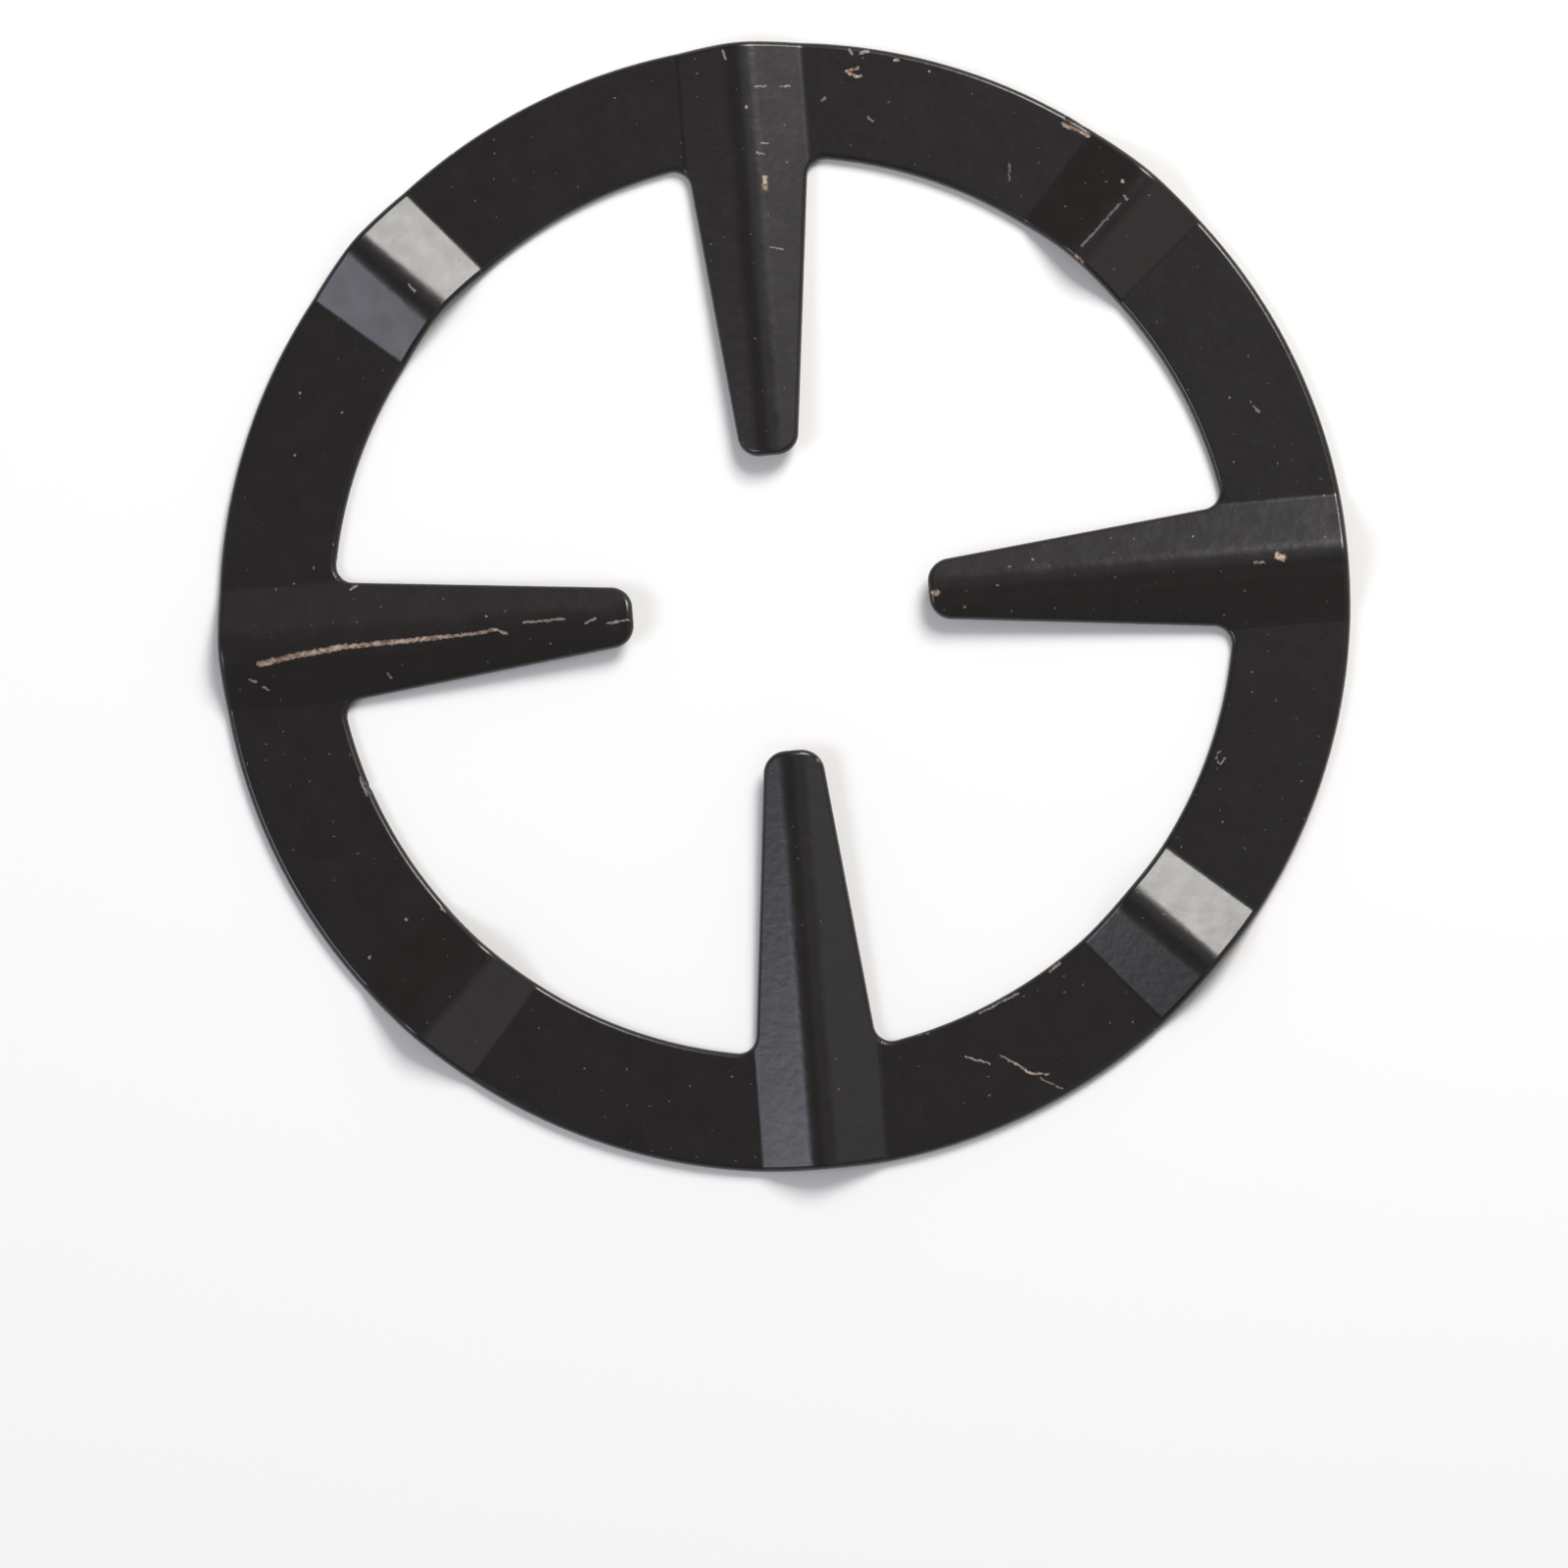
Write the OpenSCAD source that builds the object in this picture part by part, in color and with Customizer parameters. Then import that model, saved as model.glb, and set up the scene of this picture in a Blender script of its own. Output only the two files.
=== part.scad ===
// Stove reducer ring. One steel blank is cut out, pressed and enamelled: a flat ring
// carries four tapered arms that point at its centre, and eight radial folds stiffen
// it. One fold runs the whole length of each arm and on across the ring, and one more
// crosses the ring midway between each pair of arms.
// The frame has +Z up, the first arm on +X, and the origin under the ring's centre,
// on the plane that the flats of the ring rest on.

/* [Ring] */
// Diameter over the ring's outer rim
ring_outer_d = 140; // [130:0.5:160]
// Diameter inside the ring's inner rim
ring_inner_d = 111.3; // [100:0.1:120]
// Thickness of the sheet with its enamel; every rim is rounded to half of it
sheet_t = 1.5; // [0.8:0.1:2.2]

/* [Arms] */
// Number of arms, with one more fold of the ring between each pair
arm_count = 4; // [3:1:6]
// Diameter of the circle that the arms leave open in the middle
arm_tip_circle_d = 36.6; // [24:0.2:60]
// Width of an arm at its tip, before its corners are rounded
arm_tip_w = 7; // [6:0.1:9]
// Angle between the two sides of an arm, which widens towards the ring
arm_taper = 12.4; // [4:0.2:14]
// Radius of the two corners of an arm's tip, in plan
arm_corner_r = 2.8; // [1.5:0.1:2.9]
// Radius of the fillet between an arm's side and the ring's inner rim, in plan
arm_root_r = 2.2; // [1:0.1:4]

/* [Folds] */
// Height that the sheet rises from the flat of the ring to a crest
fold_rise = 2.4; // [1:0.1:3]
// Width of an arm's fold from foot to foot
arm_fold_w = 16; // [14:0.1:18]
// Width of a fold between the arms, from foot to foot, at the inner rim
ring_fold_inner_w = 16.2; // [14:0.1:18]
// Width of the same fold at the outer rim, towards which it flares
ring_fold_outer_w = 18; // [14:0.1:22]
// Bend radius at a crest, on the middle of the sheet's thickness
crest_bend_r = 5.8; // [3:0.1:7]
// Bend radius at a fold's foot, on the middle of the sheet's thickness
foot_bend_r = 2.8; // [1.5:0.1:4]

/* [Hidden] */

// Steps that a curve is divided into
RIM_STEPS = 6;
CORNER_STEPS = 6;
SIDE_STEPS = 6;
ROOT_STEPS = 6;
CREST_STEPS = 3;
FACET_STEPS = 2;
FOOT_STEPS = 3;
FLAT_STEPS = 7;

// The rim's round, and the circles that its centre line follows on the ring
rim_r = sheet_t / 2;
outer_line_r = ring_outer_d / 2 - rim_r;
inner_line_r = ring_inner_d / 2 + rim_r;

// Angle from arm to arm; a fold of the ring lies midway, and each fold has a sector
// around it that ends halfway to the next fold
arm_pitch = 360 / arm_count;
half_sector = arm_pitch / 4;

// A place in plan is [u, v]: v runs out along a fold's axis and u across it. A
// direction in plan is an angle from +v towards +u.
function plan_dir(angle) = [sin(angle), cos(angle)];
function on_circle(r, u) = [u, sqrt(r * r - u * u)];
function polar_angle(p) = atan2(p[0], p[1]);

// A fold's section, across half of its width: the bend at the crest, a straight facet
// and the bend at the foot. The facet's slope follows from the rise and the half width.
bend_r_sum = crest_bend_r + foot_bend_r;
function facet_slope(half_w) =
    let (k = 2 * bend_r_sum - fold_rise)
    2 * atan((half_w - sqrt(half_w * half_w - k * fold_rise)) / k);

// Slope of the sheet at the distance u from the crest, falling away from the crest
function fold_slope(u, half_w) =
    let (x = abs(u), slope = facet_slope(half_w))
    x >= half_w ? 0
    : x <= crest_bend_r * sin(slope) ? sign(u) * asin(x / crest_bend_r)
    : x >= half_w - foot_bend_r * sin(slope) ? sign(u) * asin((half_w - x) / foot_bend_r)
    : sign(u) * slope;

// Height of the middle of the sheet there, above the middle of the flats
function fold_height(u, half_w) =
    let (
        x = abs(u),
        slope = facet_slope(half_w),
        facet_end = half_w - foot_bend_r * sin(slope),
        here = abs(fold_slope(u, half_w))
    )
    x <= crest_bend_r * sin(slope) ? fold_rise - crest_bend_r * (1 - cos(here))
    : x >= facet_end ? foot_bend_r * (1 - cos(here))
    : foot_bend_r * (1 - cos(slope)) + (facet_end - x) * tan(slope);

// A point of a rim's centre line: its place in plan, the way that the rim faces, and
// the slope and height of the sheet there
function rim_point(place, faces, half_w) =
    [place, faces, fold_slope(place[0], half_w), fold_height(place[0], half_w)];
function outer_point(u, half_w) =
    let (place = on_circle(outer_line_r, u))
    rim_point(place, polar_angle(place), half_w);
function inner_point(u, half_w) =
    let (place = on_circle(inner_line_r, u))
    rim_point(place, 180 + polar_angle(place), half_w);

// A station pairs a point of the inner rim with one of the outer rim. Over the flat
// of the ring the pairs turn evenly from the last station of a fold to the sector's end.
function flat_station(from, share) =
    let (
        inner_a = polar_angle(from[0][0]) * (1 - share) + half_sector * share,
        outer_a = polar_angle(from[1][0]) * (1 - share) + half_sector * share
    )
    [
        [inner_line_r * plan_dir(inner_a), 180 + inner_a, 0, 0],
        [outer_line_r * plan_dir(outer_a), outer_a, 0, 0],
    ];
function flat_stations(from, last) =
    [for (i = [1:last]) flat_station(from, i / FLAT_STEPS)];

// Half an arm in plan: the round corner of its tip, its straight side, and the fillet
// into the ring's inner rim. Each curve is that of the rim's centre line.
side_faces = 90 + arm_taper / 2;
side_dir = plan_dir(arm_taper / 2);
corner_centre = [
    arm_tip_w / 2 + arm_corner_r * (tan(arm_taper / 2) - 1 / cos(arm_taper / 2)),
    arm_tip_circle_d / 2 + arm_corner_r,
];
side_start = corner_centre + (arm_corner_r - rim_r) * plan_dir(side_faces);
side_edge = side_start + (rim_r + arm_root_r) * plan_dir(side_faces);
side_reach = side_edge * side_dir;
to_root = sqrt(
    pow(ring_inner_d / 2 - arm_root_r, 2) - side_edge * side_edge + side_reach * side_reach
) - side_reach;
root_centre = side_edge + to_root * side_dir;
root_faces = 180 + polar_angle(root_centre);

arm_half_w = arm_fold_w / 2;
arm_rim = concat(
    [for (i = [0:CORNER_STEPS])
        let (a = 180 + (side_faces - 180) * i / CORNER_STEPS)
        rim_point(corner_centre + (arm_corner_r - rim_r) * plan_dir(a), a, arm_half_w)],
    [for (i = [1:SIDE_STEPS])
        rim_point(side_start + side_dir * to_root * i / SIDE_STEPS, side_faces, arm_half_w)],
    [for (i = [1:ROOT_STEPS])
        let (a = side_faces + (root_faces - side_faces) * i / ROOT_STEPS)
        rim_point(root_centre - (arm_root_r + rim_r) * plan_dir(a), a, arm_half_w)]
);
arm_crest = rim_point([0, arm_tip_circle_d / 2 + rim_r], 180, arm_half_w);
arm_stations = [
    for (inner = concat([arm_crest], arm_rim)) [inner, outer_point(inner[0][0], arm_half_w)]
];
arm_half = concat(
    arm_stations,
    flat_stations(arm_stations[len(arm_stations) - 1], FLAT_STEPS)
);

// Half a fold between the arms: the same stops of its section at the inner rim and at
// the outer rim, where the fold is wider
function fold_stops(half_w) =
    let (
        slope = facet_slope(half_w),
        crest_end = crest_bend_r * sin(slope),
        facet_end = half_w - foot_bend_r * sin(slope)
    )
    concat(
        [for (i = [0:CREST_STEPS]) crest_bend_r * sin(slope * i / CREST_STEPS)],
        [for (i = [1:FACET_STEPS]) crest_end + (facet_end - crest_end) * i / FACET_STEPS],
        [for (i = [1:FOOT_STEPS]) half_w - foot_bend_r * sin(slope * (1 - i / FOOT_STEPS))]
    );
fold_inner_u = fold_stops(ring_fold_inner_w / 2);
fold_outer_u = fold_stops(ring_fold_outer_w / 2);
fold_stations = [
    for (i = [0:len(fold_inner_u) - 1]) [
        inner_point(fold_inner_u[i], ring_fold_inner_w / 2),
        outer_point(fold_outer_u[i], ring_fold_outer_w / 2),
    ]
];
fold_half = concat(
    fold_stations,
    flat_stations(fold_stations[len(fold_stations) - 1], FLAT_STEPS - 1)
);

// The other half of each, mirrored across the fold's axis
function mirrored(p) = [[-p[0][0], p[0][1]], -p[1], -p[2], p[3]];
function whole(half) = concat(
    [for (i = [len(half) - 1:-1:1]) [mirrored(half[i][0]), mirrored(half[i][1])]],
    half
);

// The sheet's rim at a point: half a circle across its thickness, turned to the slope
function turned(p, angle) =
    [p[1] * cos(angle) - p[0] * sin(angle), p[1] * sin(angle) + p[0] * cos(angle), p[2]];
function rim_arc(point, from, to, axis_angle) =
    let (
        up = [sin(point[2]), 0, cos(point[2])],
        faces = concat(plan_dir(point[1]), [0]),
        along = faces - (faces * up) * up,
        out = along / norm(along),
        centre = concat(point[0], [point[3] + rim_r])
    )
    [for (i = [0:RIM_STEPS])
        let (a = from + (to - from) * i / RIM_STEPS)
        turned(centre + rim_r * (cos(a) * out + sin(a) * up), axis_angle)];

// The section at a station: the outer rim from top to bottom, then the inner rim back
function station_section(station, axis_angle) = concat(
    rim_arc(station[1], 90, -90, axis_angle),
    rim_arc(station[0], -90, 90, axis_angle)
);
sections = [
    for (arm = [0:arm_count - 1])
        let (arm_angle = arm * arm_pitch)
        each concat(
            [for (s = whole(arm_half)) station_section(s, arm_angle)],
            [for (s = whole(fold_half)) station_section(s, arm_angle + arm_pitch / 2)]
        )
];

// A closed loft: each section is joined to the next one, and the last to the first
module closed_loft(sections) {
    rings = len(sections);
    sides = len(sections[0]);
    polyhedron(
        points = [for (s = sections) each s],
        faces = [
            for (i = [0:rings - 1], j = [0:sides - 1])
                let (
                    a = i * sides + j,
                    b = i * sides + (j + 1) % sides,
                    c = (i + 1) % rings * sides + (j + 1) % sides,
                    d = (i + 1) % rings * sides + j
                )
                each [[a, c, b], [a, d, c]]
        ],
        convexity = 10
    );
}

module reducer_ring() {
    color("#2b2827") closed_loft(sections);
}

reducer_ring();
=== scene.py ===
import math
import random

import bmesh
import bpy
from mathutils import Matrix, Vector


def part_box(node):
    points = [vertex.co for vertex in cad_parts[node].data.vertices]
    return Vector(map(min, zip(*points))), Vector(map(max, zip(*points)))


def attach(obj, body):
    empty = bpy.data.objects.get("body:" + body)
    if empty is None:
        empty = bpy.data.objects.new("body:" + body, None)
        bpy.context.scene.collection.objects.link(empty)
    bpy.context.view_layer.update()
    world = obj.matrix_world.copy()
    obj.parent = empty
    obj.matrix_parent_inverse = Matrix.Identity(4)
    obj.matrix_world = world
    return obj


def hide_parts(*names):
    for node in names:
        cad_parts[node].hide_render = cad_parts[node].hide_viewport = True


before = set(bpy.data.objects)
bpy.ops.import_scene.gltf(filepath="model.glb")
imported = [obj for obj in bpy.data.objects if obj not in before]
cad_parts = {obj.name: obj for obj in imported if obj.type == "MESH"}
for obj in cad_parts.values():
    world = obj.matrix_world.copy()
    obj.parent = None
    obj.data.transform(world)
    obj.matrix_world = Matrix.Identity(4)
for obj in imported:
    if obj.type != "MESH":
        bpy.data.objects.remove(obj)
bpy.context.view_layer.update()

# The ring is one blank of sheet steel, cut out and pressed in one stroke: four tapered
# arms run in from a flat ring, and eight radial folds stiffen it. It is drawn here along
# the middle of the sheet, one eighth of it first, and then given thickness and rims.
MM = 0.001
ring_low, ring_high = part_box("reducer_ring")
sheet_t = 1.5 * MM
rim_r = sheet_t / 2
fold_rise = ring_high.z - ring_low.z - sheet_t
outer_line_r = ring_high.x - rim_r
inner_line_r = 111.3 / 2 * MM + rim_r
tip_line_r = 36.6 / 2 * MM + rim_r
arm_half_tip = 7 / 2 * MM
arm_side_turn = math.radians(12.4 / 2)
corner_r = 2.8 * MM
root_r = 2.2 * MM
arm_fold_half = 16 / 2 * MM
ring_fold_half_in = 16.2 / 2 * MM
ring_fold_half_out = 18 / 2 * MM
crest_bend_r = 5.8 * MM
foot_bend_r = 2.8 * MM
EIGHTH = math.radians(45)
BEND_STEPS = 6
RIM_STEPS = 10
JOIN = 1e-6


def facing(angle):
    """The direction in plan at an angle from +X"""
    return Vector((math.cos(angle), math.sin(angle), 0))


def facet_slope(half_w):
    """Slope of a fold's straight side, which with the two bends makes up the rise"""
    k = 2 * (crest_bend_r + foot_bend_r) - fold_rise
    return 2 * math.atan((half_w - math.sqrt(half_w * half_w - k * fold_rise)) / k)


def bend_lines(half_w):
    """Distances from a crest at which the sheet's bends are divided"""
    slope = facet_slope(half_w)
    shares = [i / BEND_STEPS for i in range(BEND_STEPS + 1)]
    crest = [crest_bend_r * math.sin(slope * share) for share in shares[1:]]
    foot = [half_w - foot_bend_r * math.sin(slope * (1 - share)) for share in shares]
    return crest + foot


def fold_height(across, half_w):
    """Rise of the middle of the sheet at a distance across from a crest"""
    slope = facet_slope(half_w)
    facet_end = half_w - foot_bend_r * math.sin(slope)
    if across <= crest_bend_r * math.sin(slope):
        return fold_rise - crest_bend_r + math.sqrt(crest_bend_r**2 - across**2)
    if across >= half_w:
        return 0
    if across >= facet_end:
        return foot_bend_r - math.sqrt(foot_bend_r**2 - (half_w - across) ** 2)
    return foot_bend_r * (1 - math.cos(slope)) + (facet_end - across) * math.tan(slope)


def sheet_height(x, y):
    """Rise of the middle of the sheet at a place in plan"""
    reach, angle = math.hypot(x, y), math.atan2(y, x)
    nearest_fold = round(angle / EIGHTH)
    across = abs(reach * math.sin(angle - nearest_fold * EIGHTH))
    if nearest_fold % 2 == 0:
        return fold_height(across, arm_fold_half)
    share = (reach - inner_line_r) / (outer_line_r - inner_line_r)
    return fold_height(
        across, ring_fold_half_in + share * (ring_fold_half_out - ring_fold_half_in)
    )


def draw_line(step):
    """Draws on from the last point of the outline, in a straight line"""
    bpy.ops.mesh.extrude_region_move(TRANSFORM_OT_translate={"value": step})


def draw_arc(centre, angle, steps):
    """Draws on from the last point of the outline, anticlockwise round a centre"""
    bpy.ops.mesh.spin(steps=steps, angle=angle, center=centre, axis=(0, 0, -1))


# The outline of one eighth, from the middle of an arm to the middle of the next fold
corner_centre = Vector((
    tip_line_r - rim_r + corner_r,
    arm_half_tip + corner_r * (math.tan(arm_side_turn) - 1 / math.cos(arm_side_turn)),
    0,
))
side_way = facing(arm_side_turn)
side_out = facing(math.pi / 2 + arm_side_turn)
side_edge = corner_centre + (corner_r + root_r) * side_out
side_reach = side_edge.dot(side_way)
root_circle_r = inner_line_r - rim_r - root_r
side_length = (
    math.sqrt(root_circle_r**2 - side_edge.length_squared + side_reach**2) - side_reach
)
root_centre = side_edge + side_length * side_way
root_angle = math.atan2(root_centre.y, root_centre.x)
quarter_less_taper = math.pi / 2 - arm_side_turn

bpy.ops.object.select_all(action="DESELECT")
bpy.ops.mesh.primitive_plane_add(size=rim_r, location=(tip_line_r, 0, 0))
ring = bpy.context.active_object
ring.name = "enamelled_ring"
bpy.ops.object.transform_apply(location=True)
bpy.ops.object.mode_set(mode="EDIT")
bpy.ops.mesh.merge(type="CENTER")
draw_line((0, corner_centre.y, 0))
draw_arc(corner_centre, -quarter_less_taper, 14)
draw_line(side_length * side_way)
draw_arc(root_centre, quarter_less_taper + root_angle, 14)
draw_arc((0, 0, 0), EIGHTH - root_angle, 35)
draw_line((outer_line_r - inner_line_r) * facing(EIGHTH))
draw_arc((0, 0, 0), -EIGHTH, 45)
bpy.ops.mesh.select_all(action="SELECT")
bpy.ops.mesh.edge_face_add()

# The lines of the bends: parallel along the arm, and splayed across the ring
for line in bend_lines(arm_fold_half):
    bpy.ops.mesh.select_all(action="SELECT")
    bpy.ops.mesh.bisect(plane_co=(0, line, 0), plane_no=(0, 1, 0), threshold=JOIN)
across_fold = facing(EIGHTH - math.pi / 2)
for at_inner, at_outer in zip(bend_lines(ring_fold_half_in), bend_lines(ring_fold_half_out)):
    start, end = (
        math.sqrt(reach**2 - across**2) * facing(EIGHTH) + across * across_fold
        for reach, across in ((inner_line_r, at_inner), (outer_line_r, at_outer))
    )
    bpy.ops.mesh.select_all(action="SELECT")
    bpy.ops.mesh.bisect(
        plane_co=start, plane_no=(end - start).cross(Vector((0, 0, 1))), threshold=JOIN
    )

# The press lifts the folds, and the other seven eighths are copies
sheet = bmesh.from_edit_mesh(ring.data)
for vert in sheet.verts:
    vert.co.z = rim_r + sheet_height(vert.co.x, vert.co.y)
bmesh.update_edit_mesh(ring.data)
bpy.ops.mesh.select_all(action="SELECT")
bpy.ops.mesh.duplicate()
bpy.ops.transform.resize(value=(1, -1, 1), center_override=(0, 0, 0))
for turn in (math.pi / 2, math.pi):
    bpy.ops.mesh.select_all(action="SELECT")
    bpy.ops.mesh.duplicate()
    bpy.ops.transform.rotate(value=turn, orient_axis="Z", center_override=(0, 0, 0))
bpy.ops.mesh.select_all(action="SELECT")
bpy.ops.mesh.remove_doubles(threshold=JOIN)
bpy.ops.mesh.normals_make_consistent(inside=False)
if bmesh.from_edit_mesh(ring.data).faces[:][0].normal.z < 0:
    bpy.ops.mesh.flip_normals()
bpy.ops.object.mode_set(mode="OBJECT")

thickness = ring.modifiers.new("thickness", "SOLIDIFY")
thickness.thickness = sheet_t
thickness.offset = 0
thickness.use_even_offset = True
thickness.use_quality_normals = True
bpy.ops.object.modifier_apply(modifier=thickness.name)


def steepness(edge):
    """How upright an edge stands, from 0 to 1"""
    return abs(edge.verts[0].co.z - edge.verts[1].co.z) / edge.calc_length()


# The rims are rounded over: the wall between the two faces is divided up its height, and
# its points move out onto half a circle. Each one keeps its share of the height as level.
bpy.ops.object.mode_set(mode="EDIT")
bpy.ops.mesh.select_mode(type="EDGE")
bpy.ops.mesh.select_all(action="DESELECT")
solid = bmesh.from_edit_mesh(ring.data)
level = solid.verts.layers.float.new("level")
for vert in solid.verts:
    flattest = max((face.normal.z for face in vert.link_faces), key=abs)
    vert[level] = math.copysign(1, flattest)
for edge in solid.edges:
    edge.select_set(steepness(edge) > 0.8)
bmesh.update_edit_mesh(ring.data)
bpy.ops.mesh.subdivide(number_cuts=RIM_STEPS - 1)
solid = bmesh.from_edit_mesh(ring.data)
level = solid.verts.layers.float["level"]
solid.normal_update()
moves = []
for vert in solid.verts:
    if abs(vert[level]) > 1 - 1 / RIM_STEPS:
        continue
    upright = max(vert.link_edges, key=steepness)
    up = (upright.verts[0].co - upright.verts[1].co).normalized()
    up *= math.copysign(1, up.z)
    out = (vert.normal - vert.normal.dot(up) * up).normalized()
    turn = vert[level] * math.pi / 2
    moves.append((vert, (math.sin(turn) - vert[level]) * up + math.cos(turn) * out))
for vert, move in moves:
    vert.co += rim_r * move
solid.verts.layers.float.remove(level)
bmesh.update_edit_mesh(ring.data)
bpy.ops.object.mode_set(mode="OBJECT")

# Knocks have broken the enamel away at the rims, and dented the edge under one fold. Each
# is a shallow bite: place in plan, radius, and how much its height is stretched or squashed.
BITES = [
    ((50.9, 50.3), 1.5, 1.02), ((49.5, 51.6), 1.3, 1.06), ((42.2, 56.9), 1.3, 1.25),
    ((40.4, 57.6), 1.0, 0.80), ((38.6, 38.6), 1.1, 0.85), ((17.3, -0.4), 1.3, 1.05),
    ((4.6, -17.2), 1.6, 0.90), ((-52.0, -18.1), 1.3, 1.10), ((-43.6, -32.9), 1.2, 1.00),
    ((-38.3, -38.6), 1.2, 0.95), ((30.0, -45.7), 1.2, 1.00), ((13.9, -52.6), 1.2, 1.00),
]
random.seed(7)
cutters = []
for (x, y), radius, flatten in BITES:
    bpy.ops.object.select_all(action="DESELECT")
    bpy.ops.mesh.primitive_ico_sphere_add(
        subdivisions=2,
        radius=radius * MM,
        location=(x * MM, y * MM, sheet_height(x * MM, y * MM) + sheet_t),
    )
    cutter = bpy.context.active_object
    for vert in cutter.data.vertices:
        vert.co *= random.uniform(0.86, 1.12)
        vert.co.z *= flatten
    cutters.append(cutter)
bpy.ops.object.select_all(action="DESELECT")
for cutter in cutters:
    cutter.select_set(True)
bpy.context.view_layer.objects.active = cutters[0]
bpy.ops.object.join()
bites = bpy.context.active_object
bpy.ops.object.select_all(action="DESELECT")
bpy.context.view_layer.objects.active = ring
knocks = ring.modifiers.new("knocks", "BOOLEAN")
knocks.object = bites
knocks.operation = "DIFFERENCE"
knocks.solver = "EXACT"
bpy.ops.object.modifier_apply(modifier=knocks.name)
bpy.data.objects.remove(bites)

ring.select_set(True)
bpy.ops.object.shade_smooth_by_angle(angle=math.radians(35))
shading = ring.modifiers.new("shading", "WEIGHTED_NORMAL")
shading.keep_sharp = True
bpy.ops.object.modifier_apply(modifier=shading.name)

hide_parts("reducer_ring")
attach(ring, "root")


# The finish is black vitreous enamel, fired on: hard and smooth, with a slight orange
# peel that softens what it reflects. Where it is worn through, bare steel shows, rusty
# beige, and handling has left grey scuffs and pale specks. Marks are in millimetres.
def linear(hex_colour):
    """An sRGB hex colour as the linear values that a shader takes"""
    parts = [int(hex_colour[i:i + 2], 16) / 255 for i in (1, 3, 5)]
    return (*[p / 12.92 if p <= 0.04045 else ((p + 0.055) / 1.055) ** 2.4 for p in parts], 1)


def add_node(tree, kind, inputs=None, **settings):
    """Adds a node, sets it up, and sets or links its inputs"""
    node = tree.nodes.new(kind)
    for name, value in settings.items():
        setattr(node, name, value)
    for name, value in (inputs or {}).items():
        if isinstance(value, bpy.types.NodeSocket):
            tree.links.new(value, node.inputs[name])
        else:
            node.inputs[name].default_value = value
    return node


# A stroke of wear: how much it covers a point, from its two ends and its half width
stroke = bpy.data.node_groups.new("stroke", "ShaderNodeTree")
for name, kind in (("point", "NodeSocketVector"), ("from", "NodeSocketVector"),
                   ("to", "NodeSocketVector"), ("half_width", "NodeSocketFloat")):
    stroke.interface.new_socket(name, in_out="INPUT", socket_type=kind)
stroke.interface.new_socket("cover", in_out="OUTPUT", socket_type="NodeSocketFloat")
given = add_node(stroke, "NodeGroupInput").outputs
along = add_node(stroke, "ShaderNodeVectorMath", {0: given["to"], 1: given["from"]},
                 operation="SUBTRACT").outputs[0]
offset = add_node(stroke, "ShaderNodeVectorMath", {0: given["point"], 1: given["from"]},
                  operation="SUBTRACT").outputs[0]
reached = add_node(stroke, "ShaderNodeVectorMath", {0: offset, 1: along},
                   operation="DOT_PRODUCT").outputs["Value"]
whole = add_node(stroke, "ShaderNodeVectorMath", {0: along, 1: along},
                 operation="DOT_PRODUCT").outputs["Value"]
share = add_node(stroke, "ShaderNodeMath", {0: reached, 1: whole},
                 operation="DIVIDE", use_clamp=True).outputs[0]
nearest = add_node(stroke, "ShaderNodeVectorMath", {0: along, "Scale": share},
                   operation="SCALE").outputs[0]
apart = add_node(stroke, "ShaderNodeVectorMath", {0: offset, 1: nearest},
                 operation="DISTANCE").outputs["Value"]
core = add_node(stroke, "ShaderNodeMath", {0: given["half_width"], 1: 0.45},
                operation="MULTIPLY").outputs[0]
cover = add_node(stroke, "ShaderNodeMapRange",
                 {"Value": apart, "From Min": given["half_width"], "From Max": core}).outputs[0]
add_node(stroke, "NodeGroupOutput", {"cover": cover})

enamel = bpy.data.materials.new("black_vitreous_enamel")
enamel.use_nodes = True
tree = enamel.node_tree
shader = tree.nodes["Principled BSDF"]
shader.inputs["IOR"].default_value = 1.5
place = add_node(tree, "ShaderNodeTexCoord").outputs["Object"]
point = add_node(tree, "ShaderNodeVectorMath", {0: place, "Scale": 1 / MM},
                 operation="SCALE").outputs[0]
ragged = add_node(tree, "ShaderNodeTexNoise",
                  {"Vector": point, "Scale": 1.8, "Detail": 3.0, "Roughness": 0.65})
centred = add_node(tree, "ShaderNodeVectorMath", {0: ragged.outputs["Color"], 1: (0.5, 0.5, 0.5)},
                   operation="SUBTRACT").outputs[0]
shifted = add_node(tree, "ShaderNodeVectorMath",
                   {0: centred, 1: (0.7, 0.7, 0.7), 2: point}, operation="MULTIPLY_ADD").outputs[0]


def worn(marks):
    """How much a list of marks covers a point: each has half width, strength and points"""
    total = None
    for half_width, strength, *points in marks:
        ends = [(x, y, (sheet_height(x * MM, y * MM) + sheet_t) / MM) for x, y in points]
        for start, end in zip(ends, ends[1:] or ends):
            one = add_node(tree, "ShaderNodeGroup", node_tree=stroke)
            tree.links.new(shifted, one.inputs["point"])
            one.inputs["from"].default_value = start
            one.inputs["to"].default_value = end
            one.inputs["half_width"].default_value = half_width
            here = add_node(tree, "ShaderNodeMath", {0: one.outputs["cover"], 1: strength},
                            operation="MULTIPLY").outputs[0]
            total = here if total is None else add_node(
                tree, "ShaderNodeMath", {0: total, 1: here}, operation="MAXIMUM").outputs[0]
    return total


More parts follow.
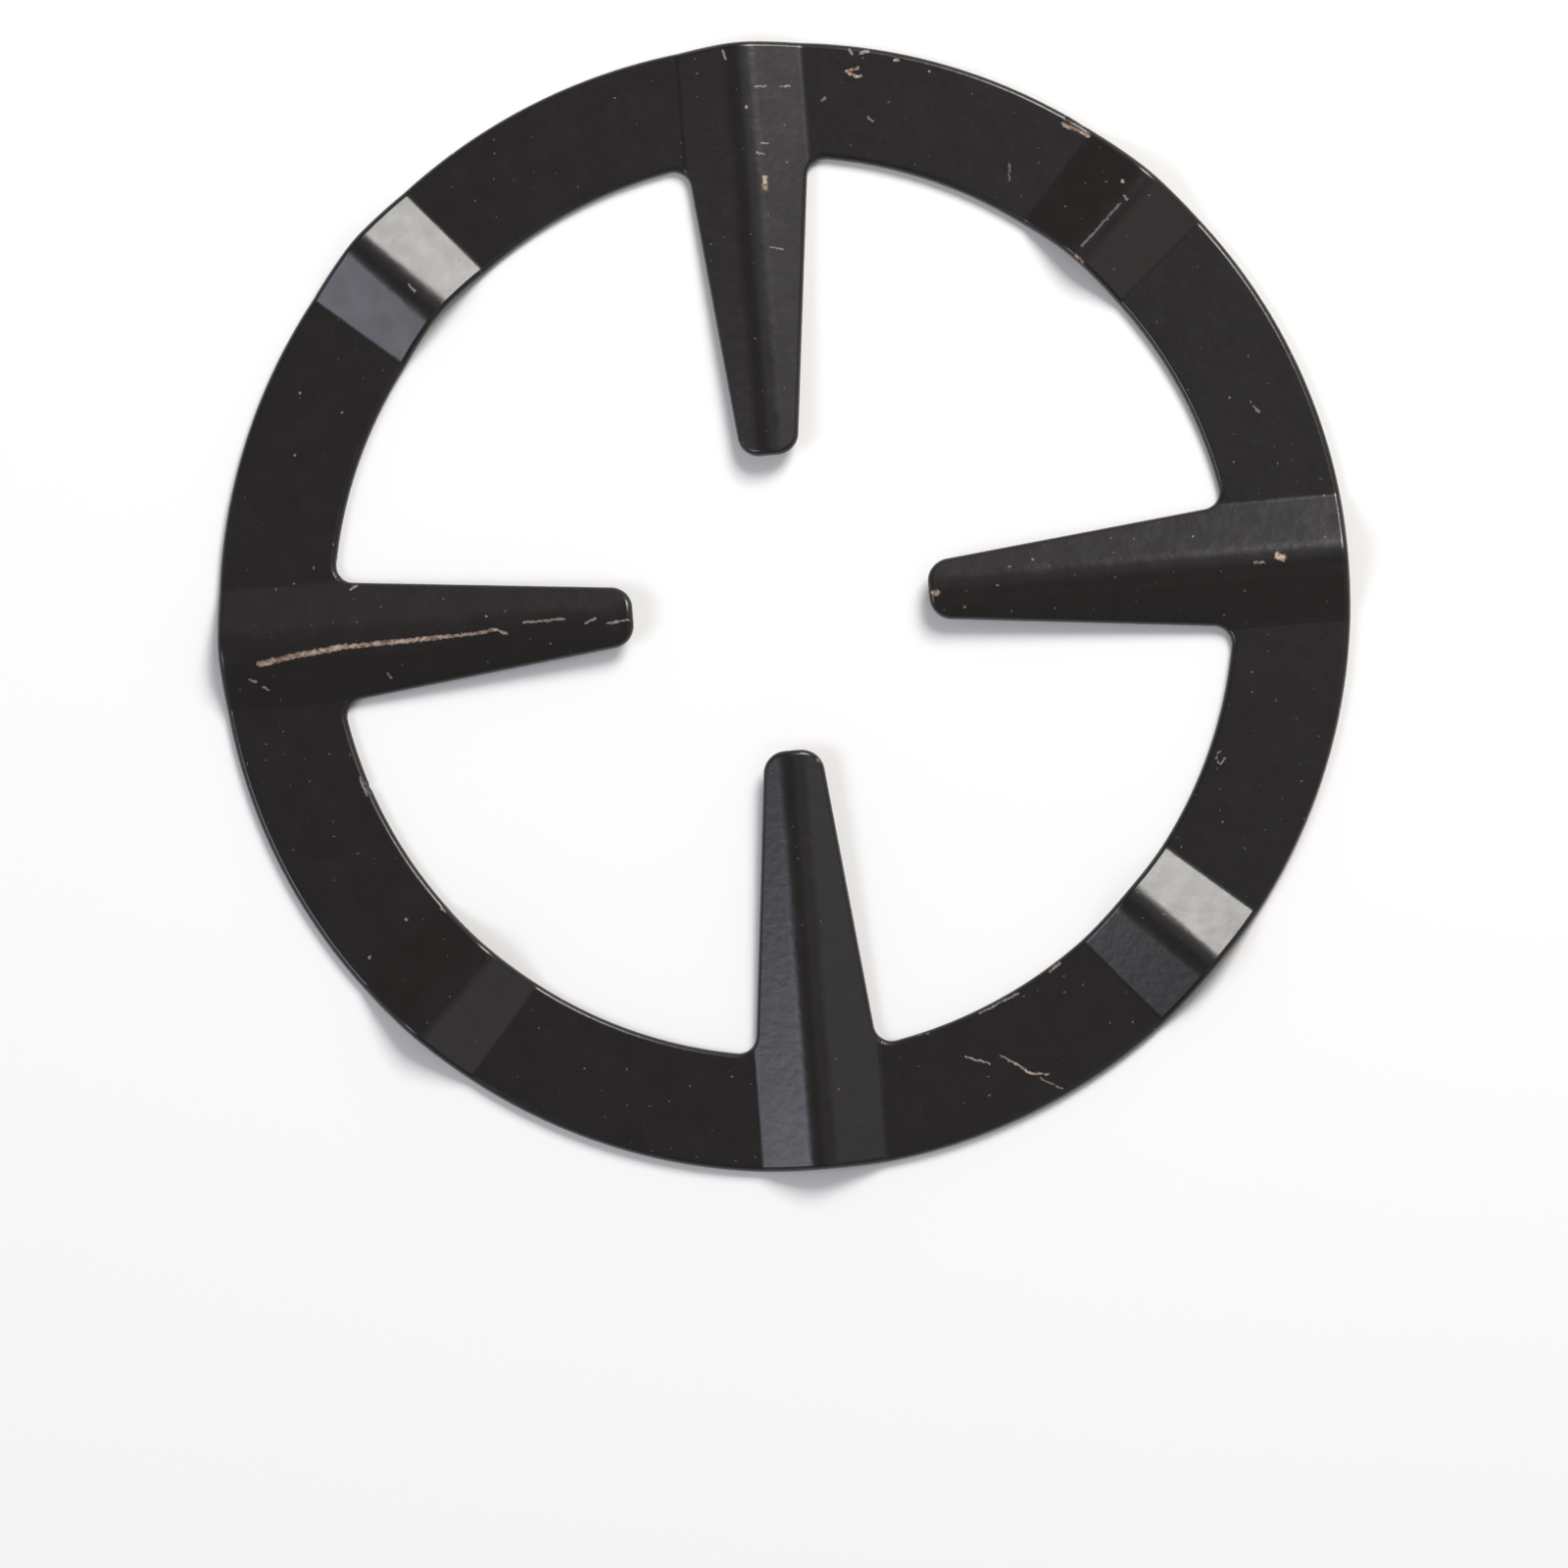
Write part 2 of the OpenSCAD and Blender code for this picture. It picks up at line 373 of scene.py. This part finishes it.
# Worn through to the steel: along one arm's crest, and chips on the ring and the rims
WORN_THROUGH = [
    (0.42, 0.80, (-64.9, -2.1), (-60.7, -1.5), (-54.8, -0.9)),
    (0.34, 0.75, (-54.8, -0.9), (-46.3, -0.8), (-42.1, -0.7)),
    (0.26, 0.55, (-42.1, -0.7), (-39.5, -0.7), (-35.2, -0.4)),
    (0.42, 0.95, (2.2, 52.8), (2.1, 51.5)),
    (0.25, 0.90, (14.6, 65.7), (13.2, 65.4), (14.0, 64.8), (14.9, 64.6)),
    (0.30, 0.80, (19.3, 66.3), (19.6, 66.2)),
    (0.30, 0.95, (39.4, 56.4), (41.2, 55.4), (42.4, 54.6)),
    (0.30, 0.80, (46.2, 48.3)),
    (0.30, 0.75, (39.8, 39.6), (40.4, 38.7)),
    (0.50, 1.00, (61.4, 0.5), (62.0, 0.2)),
    (0.22, 0.55, (58.6, -0.2), (59.6, -0.2)),
    (0.40, 0.90, (18.9, -0.5), (19.4, -0.5)),
    (0.25, 0.70, (30.6, -47.0), (29.4, -47.9)),
    (0.20, 0.80, (24.2, -58.8), (26.1, -60.2), (28.2, -60.5)),
    (0.30, 0.60, (3.2, -19.8)),
]
# Scuffed and scratched: grey marks in the enamel's surface
SCUFFED = [
    (0.20, 0.55, (-35.2, -0.4), (-34.0, -1.0)),
    (0.20, 0.40, (-31.9, 0.2), (-29.2, 0.2), (-26.8, 0.2)),
    (0.20, 0.45, (-24.2, -0.6), (-22.9, 0.0)),
    (0.16, 0.50, (-21.4, -0.8), (-18.7, -0.6)),
    (0.22, 0.45, (-66.3, -3.8), (-65.6, -4.2)),
    (0.20, 0.45, (-64.7, -4.9), (-64.2, -5.3)),
    (0.20, 0.35, (-49.2, -4.6), (-48.8, -5.1)),
    (0.30, 0.45, (-53.0, 6.4), (-52.4, 6.7)),
    (0.20, 0.40, (-57.5, 9.5)),
    (0.22, 0.55, (-36.4, 1.4)),
    (0.22, 0.55, (-1.8, 69.0), (-1.6, 67.9)),
    (0.32, 0.70, (0.6, 61.7)),
    (0.16, 0.60, (1.9, 64.2), (3.2, 64.2)),
    (0.16, 0.45, (5.0, 64.1), (6.0, 64.1)),
    (0.15, 0.55, (2.0, 57.1), (2.9, 57.0)),
    (0.15, 0.50, (1.5, 55.9), (2.4, 55.6)),
    (0.15, 0.45, (2.2, 44.0), (3.7, 43.8)),
    (0.20, 0.60, (13.7, 68.1), (14.0, 67.5)),
    (0.28, 0.55, (15.1, 67.5), (16.0, 67.7)),
    (0.26, 0.60, (23.4, 64.4)),
    (0.20, 0.35, (9.8, 62.0), (10.3, 62.4)),
    (0.20, 0.40, (15.4, 59.5), (16.0, 58.8)),
    (0.18, 0.30, (45.6, 45.5), (40.6, 40.8)),
    (0.20, 0.35, (46.3, 46.5), (46.6, 46.0)),
    (0.16, 0.25, (32.4, 52.1), (32.2, 50.0)),
    (0.20, 0.40, (59.9, 19.4), (60.6, 18.6)),
    (0.22, 0.55, (22.6, -2.5)),
    (0.20, 0.40, (26.8, -0.2)),
    (0.20, 0.40, (31.4, 2.6)),
    (0.20, 0.45, (51.2, 3.8)),
    (0.13, 0.45, (52.3, -22.7), (51.7, -23.6), (52.3, -24.3), (52.9, -23.6)),
    (0.16, 0.60, (18.2, -57.5), (19.7, -58.1), (21.1, -58.6)),
    (0.16, 0.50, (22.4, -57.7), (24.2, -58.8)),
    (0.13, 0.45, (27.1, -60.9), (29.7, -62.4)),
    (0.20, 0.45, (8.8, -54.9), (14.2, -54.1)),
    (0.20, 0.45, (20.4, -52.3), (25.3, -50.3)),
    (0.18, 0.50, (-42.9, 43.3), (-42.2, 42.4)),
    (0.22, 0.45, (-57.7, 31.3)),
    (0.22, 0.45, (-58.9, 23.7)),
    (0.22, 0.45, (-52.6, 28.5)),
    (0.20, 0.50, (-53.7, -17.0), (-53.1, -19.2)),
    (0.20, 0.50, (-44.9, -33.8), (-44.4, -34.5)),
    (0.25, 0.50, (-49.3, -35.0)),
    (0.25, 0.50, (-54.2, -39.3)),
]
bare = worn(WORN_THROUGH)
scuffed = worn(SCUFFED)

# Specks of dust and pits, at most one in each cell of a few millimetres
SPECK_CELL = 2.6
specks = add_node(tree, "ShaderNodeTexVoronoi", {"Vector": shifted, "Scale": 1 / SPECK_CELL},
                  voronoi_dimensions="2D")
speck_size = add_node(tree, "ShaderNodeSeparateColor", {"Color": specks.outputs["Color"]})
speck_reach = add_node(tree, "ShaderNodeMapRange", {
    "Value": speck_size.outputs["Red"], "From Min": 0.45, "From Max": 1.0,
    "To Min": 0.0, "To Max": 0.16 / SPECK_CELL}).outputs[0]
speck_core = add_node(tree, "ShaderNodeMath", {0: speck_reach, 1: 0.3},
                      operation="MULTIPLY").outputs[0]
speck_cover = add_node(tree, "ShaderNodeMapRange", {
    "Value": specks.outputs["Distance"], "From Min": speck_reach, "From Max": speck_core})
speck_strength = add_node(tree, "ShaderNodeMapRange", {
    "Value": speck_size.outputs["Green"], "To Min": 0.05, "To Max": 0.45}).outputs[0]
speckled = add_node(tree, "ShaderNodeMath", {0: speck_cover.outputs[0], 1: speck_strength},
                    operation="MULTIPLY").outputs[0]
marked = add_node(tree, "ShaderNodeMath", {0: scuffed, 1: speckled},
                  operation="MAXIMUM").outputs[0]

steel = add_node(tree, "ShaderNodeValToRGB", {"Fac": ragged.outputs["Fac"]})
steel.color_ramp.elements[0].position = 0.36
steel.color_ramp.elements[0].color = linear("#6e4433")
steel.color_ramp.elements[1].position = 0.62
steel.color_ramp.elements[1].color = linear("#c2b3a0")
scuffed_enamel = add_node(tree, "ShaderNodeMix", {
    0: marked, 6: linear("#1d1a19"), 7: linear("#a9a5a2")}, data_type="RGBA")
colour = add_node(tree, "ShaderNodeMix", {
    0: bare, 6: scuffed_enamel.outputs[2], 7: steel.outputs["Color"]}, data_type="RGBA")
tree.links.new(colour.outputs[2], shader.inputs["Base Color"])

either = add_node(tree, "ShaderNodeMath", {0: bare, 1: marked}, operation="MAXIMUM").outputs[0]
fired = add_node(tree, "ShaderNodeTexNoise", {"Vector": point, "Scale": 0.35, "Detail": 4.0})
gloss = add_node(tree, "ShaderNodeMapRange", {
    "Value": fired.outputs["Fac"], "From Min": 0.3, "From Max": 0.7,
    "To Min": 0.22, "To Max": 0.28}).outputs[0]
roughness = add_node(tree, "ShaderNodeMix", {0: either, 2: gloss, 3: 0.7}, data_type="FLOAT")
tree.links.new(roughness.outputs[0], shader.inputs["Roughness"])

# Orange peel about a millimetre from crest to crest, and worn places lie a little lower
peel = add_node(tree, "ShaderNodeTexNoise", {"Vector": point, "Scale": 0.9, "Detail": 2.0})
peel_height = add_node(tree, "ShaderNodeMath", {0: peel.outputs["Fac"], 1: 0.02 * MM},
                       operation="MULTIPLY").outputs[0]
worn_depth = add_node(tree, "ShaderNodeMath", {0: bare, 1: -0.1 * MM},
                      operation="MULTIPLY").outputs[0]
relief = add_node(tree, "ShaderNodeMath", {0: peel_height, 1: worn_depth},
                  operation="ADD").outputs[0]
bump = add_node(tree, "ShaderNodeBump", {"Height": relief, "Distance": 1.0, "Strength": 1.0})
tree.links.new(bump.outputs["Normal"], shader.inputs["Normal"])
ring.data.materials.clear()
ring.data.materials.append(enamel)

# The floor is a wide sheet of white paper, matt, on which the ring lies flat
bpy.ops.object.select_all(action="DESELECT")
bpy.ops.mesh.primitive_circle_add(vertices=64, radius=6, fill_type="NGON", location=(0, 0, 0))
floor = bpy.context.active_object
floor.name = "floor"
paper = bpy.data.materials.new("white_paper")
paper.use_nodes = True
paper_shader = paper.node_tree.nodes["Principled BSDF"]
paper_shader.inputs["Base Color"].default_value = linear("#fafafa")
paper_shader.inputs["Roughness"].default_value = 0.9
paper_shader.inputs["Specular IOR Level"].default_value = 0.0
floor.data.materials.append(paper)


# The light: one warm softbox to the upper right, whose image lies in two of the folds,
# and a weak bluish card opposite. The room beyond is dim, with a few paler places.
def towards(azimuth, zenith):
    """The direction at an azimuth from +X and an angle from straight up, in degrees"""
    a, z = math.radians(azimuth), math.radians(zenith)
    return Vector((math.cos(a) * math.sin(z), math.sin(a) * math.sin(z), math.cos(z)))


def softbox(name, direction, distance, width, height, radiance, colour):
    """A rectangular lamp that faces the ring, and looks as bright as its radiance"""
    lamp = bpy.data.lights.new(name, "AREA")
    lamp.shape = "RECTANGLE"
    lamp.size, lamp.size_y = width, height
    lamp.energy = radiance * math.pi * width * height
    lamp.color = linear(colour)[:3]
    holder = bpy.data.objects.new(name, lamp)
    bpy.context.scene.collection.objects.link(holder)
    holder.location = direction * distance
    holder.rotation_euler = direction.to_track_quat("Z", "Y").to_euler()
    holder.visible_camera = False


softbox("key", towards(56, 43), 0.9, 0.36, 0.38, 16.5, "#fffdf8")
softbox("card", towards(-162, 42), 0.9, 0.40, 0.34, 4.6, "#eef0ff")

world = bpy.data.worlds.new("studio")
bpy.context.scene.world = world
world.use_nodes = True
sky = world.node_tree
ray = add_node(sky, "ShaderNodeTexCoord").outputs["Generated"]
ray_parts = add_node(sky, "ShaderNodeSeparateXYZ", {0: ray})
near_floor = add_node(sky, "ShaderNodeMapRange", {
    "Value": ray_parts.outputs["Z"], "From Min": 0.55, "From Max": 0.05}).outputs[0]
glow = add_node(sky, "ShaderNodeMix", {
    0: near_floor, 6: (0.15, 0.145, 0.14, 1), 7: (0.8, 0.8, 0.8, 1)},
    data_type="RGBA").outputs[2]
# Each paler place: azimuth, zenith angle, its full and its outermost radius in degrees,
# and its radiance
PALER = [
    (20, 40, 4, 22, (0.62, 0.62, 0.66)),
    (-52, 32, 4, 22, (0.62, 0.58, 0.60)),
    (82, 50, 2, 16, (0.45, 0.45, 0.55)),
    (180, 46, 4, 12, (0.50, 0.42, 0.52)),
    (62, 11, 2, 8.5, (0.45, 0.48, 0.66)),
]
for azimuth, zenith, inner, outer, radiance in PALER:
    facing_it = add_node(sky, "ShaderNodeVectorMath", {0: ray, 1: towards(azimuth, zenith)},
                         operation="DOT_PRODUCT").outputs["Value"]
    amount = add_node(sky, "ShaderNodeMapRange", {
        "Value": facing_it, "From Min": math.cos(math.radians(outer)),
        "From Max": math.cos(math.radians(inner))}).outputs[0]
    glow = add_node(sky, "ShaderNodeMix", {0: amount, 6: glow, 7: (*radiance, 1)},
                    data_type="RGBA", blend_type="ADD").outputs[2]
sky.links.new(glow, sky.nodes["Background"].inputs["Color"])

# The camera looks down on the ring from a little over a metre, close to upright
camera_data = bpy.data.cameras.new("camera")
camera_data.lens = 211.57
camera_data.sensor_width = 36
camera = bpy.data.objects.new("camera", camera_data)
bpy.context.scene.collection.objects.link(camera)
camera.location = (0.0821, -0.1238, 1.1278)
camera.rotation_euler = [math.radians(a) for a in (4.796, 4.626, -4.438)]
bpy.context.scene.camera = camera
bpy.context.scene.view_settings.view_transform = "Standard"
